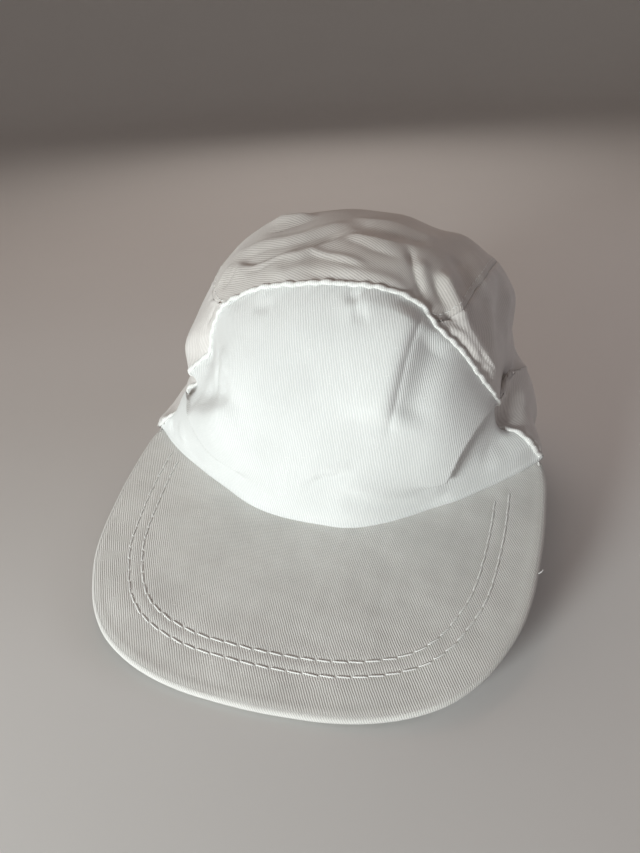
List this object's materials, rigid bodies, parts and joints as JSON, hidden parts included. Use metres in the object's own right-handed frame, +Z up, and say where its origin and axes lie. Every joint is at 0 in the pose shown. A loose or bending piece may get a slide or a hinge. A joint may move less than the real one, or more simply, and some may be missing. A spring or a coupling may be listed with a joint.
{
  "type": "baseball cap",
  "caption": "White cotton cap with one wide front panel, a wide top panel, side panels, a flat stitched visor and a strap closure at the back.",
  "frame": {"origin": "middle of the head opening, on the plane the cap rests on", "axes": "+Z up, the visor points towards -Y, +X is the wearer's left"},
  "size_m": [0.19, 0.254, 0.1249],
  "materials": {
    "twill": "matt white cotton twill",
    "visor_twill": "matt off-white cotton twill",
    "board": "matt sheet",
    "buckram": "stiff open weave",
    "tape": "plain cotton tape",
    "sweatband": "brushed cotton",
    "strap": "matt cotton twill",
    "hook": "fine nylon hooks",
    "loop": "napped nylon loops",
    "thread": "twisted sewing thread"
  },
  "bodies": {
    "crown": {"front_panel": "twill", "front_seam_roll": "twill", "top_panel": "twill", "side_panel_left": "twill", "side_panel_right": "twill", "front_stiffener": "buckram", "front_seam_tape": "tape", "side_tape_left": "tape", "side_tape_right": "tape", "sweatband": "sweatband", "back_arch_binding": "tape", "back_strap_inner": "strap", "loop_patch": "loop"},
    "visor": {"visor_top_cover": "visor_twill", "visor_board": "board", "visor_under_cover": "visor_twill", "visor_thread_outer": "thread", "visor_thread_inner": "thread"},
    "outer_strap": {"back_strap_outer": "strap", "hook_patch": "hook"}
  },
  "joints": [
    {"name": "visor_flex", "type": "hinge", "parent": "crown", "child": "visor", "pos_m": [0, -0.04, 0.0186], "axis": [1, 0, 0], "range_deg": [-8, 10]},
    {"name": "strap_peel", "type": "hinge", "parent": "crown", "child": "outer_strap", "pos_m": [0.0338, 0.0828, 0.013], "axis": [0, 0, -1], "range_deg": [0, 100]}
  ]
}
